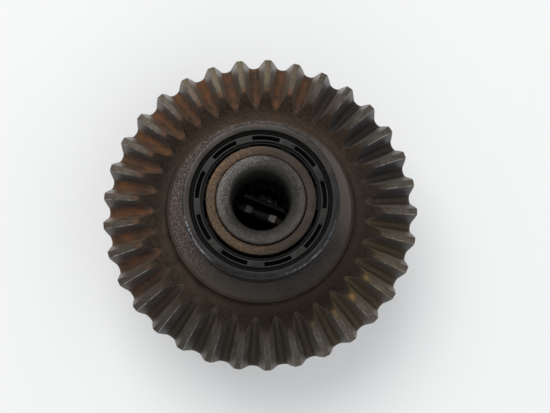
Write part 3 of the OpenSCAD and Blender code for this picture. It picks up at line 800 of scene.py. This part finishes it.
def wheel_body_color(s):
    """The valley, the pitted boss, the hub, the bore darkened by grease and painted shade, and the wheel's
    back.
    """
    r = s.radius_mm()
    valley = s.stained(
        s.mix(s.patch, (0.022, 0.0165, 0.0118), (0.054, 0.037, 0.025)),
        (s.times(s.spread(s.towards(0), 0.2, 1.0), s.spread(s.grain, 0.4, 0.6)), (0.066, 0.04, 0.024)),
        (s.times(s.around(240, 55), s.spread(s.patch, 0.3, 0.6), 0.6), (0.072, 0.052, 0.033)),
    )
    pitted = s.spread(s.towards(-60), -0.1, 0.75, 0.12, 1.0)
    boss = s.stained(
        s.mix(s.spread(s.patch, 0.35, 0.65), (0.044, 0.036, 0.031), (0.078, 0.065, 0.057)),
        (s.around(75, 48, 0.6), (0.115, 0.095, 0.086)), (s.around(160, 75, 0.6), (0.032, 0.03, 0.028)),
        (s.around(212, 52, 0.6), (0.064, 0.053, 0.041)),
        (s.times(s.spread(s.speck, 0.52, 0.62), pitted, 0.85), (0.23, 0.168, 0.145)),
        (s.times(s.spread(s.speck, 0.46, 0.36), pitted, 0.85), (0.02, 0.015, 0.012)),
    )
    hub = s.stained(
        s.mix(s.spread(s.grain, 0.3, 0.7), (0.042, 0.037, 0.032), (0.088, 0.079, 0.071)),
        (s.times(s.around(-55, 75), s.spread(s.speck, 0.44, 0.6), 0.8), (0.29, 0.27, 0.25)),
    )
    body = s.mix(s.spread(r, BOSS_R - 1.6, BOSS_R - 1.3), boss, valley)
    # Old grease and painted shade darken the round into the bore, furthest out at the top of the photograph,
    # where the round faces away from the light
    grease_shade_r = s.math("ADD", r, s.spread(s.towards(0), -0.3, 1.0, 0.0, -1.3))
    bore_grease_and_shade = s.spread(grease_shade_r, BORE_R + 1.1, BORE_R + 0.1)
    back = s.spread(s.height_mm(), RIM_BACK_Z + 2.5, RIM_BACK_Z + 0.5)
    return s.stained(
        s.mix(s.spread(r, HUB_R + 1, HUB_R + 2), hub, body),
        (bore_grease_and_shade, s.mix(s.patch, (0.03, 0.03, 0.026), (0.064, 0.063, 0.054))),
        (back, s.mix(s.patch, (0.055, 0.044, 0.035), (0.14, 0.11, 0.088))),
    )


def wheel_material():
    s = WheelSurface()
    toothed, crest, flank = s.attribute("toothed"), s.attribute("crest"), s.attribute("flank")
    facet, edge, each = s.attribute("heel_facet"), s.attribute("edge"), s.attribute("shade_id")
    # Flanks facing down get painted shade; flanks facing up get painted light and some rust
    under, upper = s.attribute("shaded_flank"), s.attribute("lit_and_rusty_flank")

    creeping = s.times(s.rusty, upper, s.spread(s.noise(200, 5, 0.7), 0.4, 0.56), 0.85)
    # Painted light: the flanks facing up are lighter steel, most towards the top of the photograph
    lit_flank_share = s.times(upper, s.spread(s.towards(-20), -0.9, 0.5, 0.15, 0.6))
    lit_flank_steel = s.mix(s.streak, (0.1, 0.085, 0.064), (0.24, 0.21, 0.165))
    # The ground heel facets get a painted highlight over their steel, brightest at the top of the photograph
    # and weaker on the flanks facing down
    lit = s.spread(s.towards(-20), -0.3, 0.8, 0.25, 1.0)
    facet_wear_and_sheen = s.spread(s.math("ADD", s.fine, s.times(each, 0.25)), 0.3, 0.6, 0.35, 0.9)
    facet_noise = s.spread(s.mix_value(0.4, s.streak, s.fine), 0.42, 0.58)
    facet_color = s.mix(facet_noise, (0.11, 0.103, 0.092), (0.43, 0.405, 0.37))
    film = s.times(toothed, s.spread(s.noise(45, 3, 0.5), 0.5, 0.7), 0.3)
    # Painted glints along the crest edges, golden towards the lower right of the photograph
    glint = s.times(s.attribute("crest_edge"), s.spread(s.noise(420, 4, 0.7), 0.42, 0.58, 0.1, 1.0), 0.95)
    golden_toe = s.times(s.attribute("toe_tip"), s.around(132, 32), s.spread(each, 0.1, 0.9, 0.3, 0.9))
    color = s.stained(
        s.mix(toothed, wheel_body_color(s), wheel_root_color(s)),
        (s.times(flank, s.rest(creeping), 0.9), s.mix(lit_flank_share, wheel_flank_color(s), lit_flank_steel)),
        # Painted shade: the flanks facing down are dark blue-grey
        (s.times(under, s.spread(s.streak, 0.34, 0.58, 1.0, 0.65)), (0.026, 0.027, 0.029)),
        (s.times(crest, s.spread(s.patch, 0.25, 0.5, 0.6, 0.95)), wheel_crest_color(s)),
        (s.times(facet, facet_wear_and_sheen, lit, s.spread(under, 0.0, 1.0, 1.0, 0.35)), facet_color),
        (s.times(edge, s.spread(s.fine, 0.38, 0.6, 0.1, 0.6)), (0.17, 0.145, 0.12)),
        (film, (0.05, 0.04, 0.03)),
        (glint, s.mix(s.around(118, 34), (0.52, 0.5, 0.45), (0.5, 0.4, 0.21))),
        (s.times(golden_toe, s.spread(s.noise(300, 4, 0.7), 0.4, 0.6), 0.8), (0.27, 0.155, 0.048)),
        (s.times(flank, s.rusty, s.spread(s.noise(260, 5, 0.7), 0.52, 0.64), 0.3), s.rust),
    )

    polished = s.plus(s.plus(flank, crest), s.plus(facet, edge))
    dull = s.times(toothed, s.rust_share, s.rest(polished))
    rough = s.mix_value(dull, s.spread(s.patch, 0.3, 0.7, 0.44, 0.6), 0.85)
    rough = s.mix_value(flank, rough, s.spread(s.scratch, 0.3, 0.7, 0.36, 0.5))
    rough = s.mix_value(s.plus(facet, crest), rough, 0.44)
    metal = s.mix_value(s.plus(flank, facet), s.mix_value(dull, 0.75, 0.1), 0.25)
    rough_skin = s.rest(s.times(polished, 0.85))
    s.bump(
        (s.times(s.noise(520, 6, 0.7), rough_skin), 0.0006),
        (s.times(s.noise(1500, 4, 0.7), rough_skin), 0.00025),
        (s.times(s.scratch, polished), 0.00004),
    )
    return s.finish(color, rough, metal)


def painted_rim_glints(s, color, rim_r):
    """Painted glints on the rim at radius rim_r, and a painted blue reflection on the outer wall below it."""
    r = s.radius_mm()
    rim = s.times(s.spread(r, rim_r - 0.65, rim_r - 0.25), s.spread(r, rim_r + 0.1, rim_r + 0.5, 1.0, 0.0))
    along_rim = s.plus(s.around(-122, 24, 0.8), s.around(134, 36, 0.7), 0.08)
    glints = s.mix(s.spread(s.noise(900, 4, 0.7), 0.42, 0.6), (0.05, 0.052, 0.056), (0.42, 0.43, 0.45))
    low = s.spread(s.height_mm(), FRONT_LOW.z + 6.5, FRONT_LOW.z + 2.5)
    wall_reflection = s.times(s.spread(r, BEARING_R - 1, BEARING_R - 0.6), low, s.around(138, 55))
    wall_reflection_color = s.mix(s.noise(600, 4, 0.7), (0.09, 0.11, 0.14), (0.26, 0.3, 0.36))
    return s.stained(color, (s.times(rim, along_rim), glints), (wall_reflection, wall_reflection_color))


def turned_metal(
    name, dark, light, rough_low, rough_high, rust=0.0, rust_from=None, depth=0.00002, oil=0.0,
    dark_inside=None, ground=None, speckle=0.0, shade_from=None, glint_rim_r=None,
):
    """Turned or ground steel, with rings round the axis. Rust and shade lie towards rust_from and shade_from.
    Inside the radius dark_inside it is black with old grease and painted shade, and glint_rim_r is the radius
    of a rim with painted glints.
    Where the attribute ground is 1 it has the colour ground."""
    s = Surface(name)
    rings = s.streaks(9000, 1.8, 3, 0.6)
    grain, patch = s.noise(1200, 5, 0.7), s.noise(150, 5, 0.6)
    color = s.mix(s.spread(s.mix_value(0.5, rings, patch), 0.35, 0.65), dark, light)
    rough = s.spread(patch, 0.3, 0.7, rough_low, rough_high)
    metal = 1.0
    if oil:
        color = s.mix(s.spread(s.noise(90, 4, 0.6), 0.42, 0.66, 0.0, oil), color, (0.02, 0.018, 0.015))
    if speckle:
        share = s.times(s.spread(s.towards(rust_from), -0.5, 0.7, 0.2, 1.0), speckle)
        speck = s.noise(3000, 2, 0.6)
        color = s.stained(
            color,
            (s.times(share, s.spread(speck, 0.52, 0.62)), (0.25, 0.15, 0.078)),
            (s.times(share, s.spread(speck, 0.45, 0.36, 0.0, 0.7)), (0.018, 0.014, 0.011)),
        )
    if rust:
        where = s.spread(s.noise(480, 6, 0.75), 0.5, 0.68, 0.0, rust)
        if rust_from is not None:
            where = s.times(where, s.spread(s.towards(rust_from), -0.6, 0.8, 0.25, 1.0))
        color = s.mix(where, color, s.mix(grain, (0.11, 0.05, 0.022), (0.3, 0.15, 0.07)))
        rough, metal = s.mix_value(where, rough, 0.8), s.rest(where)
    if glint_rim_r:
        color = painted_rim_glints(s, color, glint_rim_r)
    if shade_from is not None:
        color = s.mix(s.spread(s.towards(shade_from), -0.6, 0.9, 0.0, 0.6), color, (0.016, 0.0165, 0.0175))
    # Painted shade with old grease: inside dark_inside the steel is nearly black and reflects little
    if dark_inside:
        grease_and_shade = s.spread(s.radius_mm(), dark_inside + 0.1, dark_inside - 0.1)
        color, rough = s.mix(grease_and_shade, color, (0.005, 0.005, 0.0045)), s.mix_value(grease_and_shade, rough, 0.6)
        metal = s.math("SUBTRACT", metal, grease_and_shade, clamp=True)
        s.plug(s.shader.inputs["Specular IOR Level"], s.mix_value(grease_and_shade, 0.5, 0.05))
    if ground:
        color = s.mix(s.attribute("ground"), color, ground)
        rough = s.mix_value(s.attribute("ground"), rough, 0.34)
        # The long side flat is painted pale and not metallic: ground steel with a painted highlight
        color = s.mix(s.attribute("side_flat"), color, (0.2, 0.19, 0.185))
        metal = s.rest(s.attribute("side_flat"))
    s.bump((rings, depth), (grain, depth * 2), (s.noise(420, 5, 0.7), depth * 2.5))
    return s.finish(color, rough, metal)


def plastic():
    s = Surface("cage_nylon")
    patch, grain = s.noise(200, 5, 0.6), s.noise(1500, 4, 0.6)
    color = s.mix(s.spread(patch, 0.35, 0.7), (0.008, 0.008, 0.007), (0.02, 0.02, 0.017))
    # Painted shade: the pockets and the inner step are nearly black and barely reflect
    color = s.mix(s.attribute("pocket"), color, (0.002, 0.002, 0.002))
    s.plug(s.shader.inputs["Specular IOR Level"], s.mix_value(s.attribute("pocket"), 0.22, 0.02))
    s.bump((grain, 0.00003))
    return s.finish(color, s.spread(patch, 0.3, 0.7, 0.3, 0.5), 0.0)


def cast_metal():
    s = Surface("case_forged_steel")
    r = s.radius_mm()
    grain, patch, fine = s.noise(700, 6, 0.7), s.noise(120, 5, 0.6), s.noise(2400, 4, 0.7)
    hub = s.spread(r, SHOULDER_R + 0.2, SHOULDER_R - 0.1)
    turned_part = s.plus(hub, s.spread(r, FLANGE_R - 1.2, FLANGE_R - 0.9))
    skin = s.stained(
        s.mix(s.spread(patch, 0.3, 0.7), (0.038, 0.033, 0.028), (0.085, 0.075, 0.065)),
        (s.spread(grain, 0.52, 0.7, 0.0, 0.6), (0.1, 0.055, 0.03)),
    )
    metal = s.stained(
        s.mix(fine, (0.075, 0.07, 0.065), (0.14, 0.132, 0.124)),
        (s.spread(s.noise(70, 5, 0.65), 0.42, 0.62), (0.038, 0.034, 0.029)),
        (s.spread(grain, 0.56, 0.7, 0.0, 0.7), (0.12, 0.06, 0.028)),
    )
    rough_skin = s.rest(s.times(turned_part, 0.9))
    s.bump((s.times(s.noise(380, 6, 0.7), rough_skin), 0.0006), (s.times(fine, rough_skin), 0.00015))
    rough = s.mix_value(turned_part, s.spread(patch, 0.3, 0.7, 0.5, 0.68), 0.36)
    return s.finish(s.mix(turned_part, skin, metal), rough, 0.8)


wheel_metal = wheel_material()
# The outer ring has painted shade towards the bottom right of the photograph and painted glints on its outer
# rim
outer_ring_metal = turned_metal(
    "outer_ring_ground", (0.026, 0.0235, 0.022), (0.05, 0.0455, 0.0425), 0.32, 0.46,
    rust=0.12, rust_from=-60, oil=0.3, dark_inside=RECESS_R + 0.05,
    shade_from=150, glint_rim_r=BEARING_R - 0.6)
inner_ring_metal = turned_metal(
    "inner_ring_ground", (0.022, 0.0185, 0.016), (0.046, 0.04, 0.036), 0.38, 0.52,
    rust=0.3, rust_from=-95, oil=0.2, speckle=0.85)
ball_metal = turned_metal(
    "ball_polished", (0.022, 0.021, 0.02), (0.045, 0.043, 0.041), 0.2, 0.3, depth=0.000002)
# The shaft is coloured nearly black, with oil on it and painted shade, as it lies deep in the bore
shaft_metal = turned_metal(
    "shaft_oiled_and_shaded", (0.01, 0.01, 0.01), (0.024, 0.023, 0.022), 0.25, 0.36,
    depth=0.000008, ground=(0.105, 0.092, 0.086))
# The gears inside the case are coloured dark, with oil and painted shade, and are black inside dark_inside
gear_metal = turned_metal(
    "side_gear_steel", (0.016, 0.015, 0.014), (0.034, 0.032, 0.029), 0.4, 0.55,
    rust=0.1, oil=0.6, dark_inside=11.8)
washer_metal = turned_metal(
    "washer_ground", (0.12, 0.11, 0.1), (0.2, 0.19, 0.17), 0.24, 0.38, rust=0.2, oil=0.4)
bolt_metal = turned_metal(
    "bolt_blackened", (0.035, 0.033, 0.03), (0.085, 0.08, 0.074), 0.34, 0.5, rust=0.35, oil=0.3)
cage_plastic = plastic()
case_metal = cast_metal()


# ---------------- the object
crown_wheel()
rear_case()
case_bolts()
cross_shaft()
bearing("front", FRONT_LOW, FRONT_HIGH, top_up=True)
bearing("rear", REAR_LOW, REAR_HIGH, top_up=False)

# CAD solids that stay, with materials
for material, nodes in (
    (shaft_metal, ["shaft_roll_pin"]),
    (gear_metal, ["spider_gear_a", "spider_gear_b", "side_gear_front", "side_gear_rear"]),
    (washer_metal, ["spider_washer_a", "spider_washer_b", "side_washer_front", "side_washer_rear"]),
    (washer_metal, ["front_shim", "rear_shim"]),
    (ball_metal, ["front_balls", "rear_balls"]),
):
    for node in nodes:
        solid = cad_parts[node]
        solid.data.materials.clear()
        solid.data.materials.append(material)


# ---------------- floor, light and camera
def floor_material():
    """White, with a little glow of its own, since the photographed table is nearly overexposed."""
    s = Surface("floor_white")
    s.plug(s.shader.inputs["Specular IOR Level"], 0.2)
    s.plug(s.shader.inputs["Emission Color"], (1, 1, 1))
    s.plug(s.shader.inputs["Emission Strength"], 0.13)
    return s.finish((0.725, 0.725, 0.72), 0.7, 0.0)


FLOOR_HALF = 6.0
floor_mesh = bpy.data.meshes.new("floor")
floor_corners = [(x * FLOOR_HALF, y * FLOOR_HALF, 0) for x, y in ((-1, -1), (1, -1), (1, 1), (-1, 1))]
floor_mesh.from_pydata(floor_corners, [], [(0, 1, 2, 3)])
floor_mesh.materials.append(floor_material())
floor = add_object("floor", floor_mesh)

# The lights face the middle of the teeth's heels, and the camera looks just beside it
TARGET = Vector((0, 0, HEEL_Z * MM))


def softbox(name, clockwise, elevation, distance, size, power, color=(1, 1, 1)):
    """An area light that faces the object, clockwise degrees from the photograph's up."""
    azimuth, rise = UP_AZIMUTH - math.radians(clockwise), math.radians(elevation)
    way = Vector(around_axis(math.cos(rise), azimuth, math.sin(rise)))
    light = bpy.data.lights.new(name, "AREA")
    light.shape, light.size, light.size_y = "RECTANGLE", size[0], size[1]
    light.energy, light.color = power, color
    lamp = add_object(name, light)
    lamp.location = TARGET + way * distance
    lamp.rotation_euler = (-way).to_track_quat("-Z", "Y").to_euler()


softbox("key", -25, 58, 1.6, (1.2, 1.0), 15, (1.0, 0.985, 0.965))
softbox("fill", 110, 50, 2.0, (1.6, 1.6), 6.5, (0.95, 0.98, 1.0))
softbox("low_front", 180, 32, 1.8, (1.4, 0.8), 4)

world = bpy.data.worlds.new("studio")
world.use_nodes = True
sky = world.node_tree.nodes["Background"]
sky.inputs["Color"].default_value = (0.93, 0.96, 1.0, 1)
sky.inputs["Strength"].default_value = 0.56
bpy.context.scene.world = world
bpy.context.scene.view_settings.view_transform = "Standard"

# The camera looks almost straight down on the toothed side
tilt, turn = math.radians(8.8), math.radians(7.5)
stand_off, shift_right, shift_up = 0.38, -0.00605, -0.00198
ahead = Vector(around_axis(math.sin(tilt), UP_AZIMUTH - turn, -math.cos(tilt)))
across = ahead.cross(Vector(around_axis(1, UP_AZIMUTH, 0))).normalized()
upward = across.cross(ahead)
camera_data = bpy.data.cameras.new("camera")
camera_data.lens, camera_data.sensor_width, camera_data.sensor_fit = 58.9, 36.0, "HORIZONTAL"
camera_data.clip_start, camera_data.clip_end = 0.01, 50
camera = add_object("camera", camera_data)
camera_place = TARGET - ahead * stand_off - across * shift_right - upward * shift_up
camera_turn = Matrix((across, upward, -ahead)).transposed()
camera.matrix_world = Matrix.Translation(camera_place) @ camera_turn.to_4x4()
bpy.context.scene.camera = camera
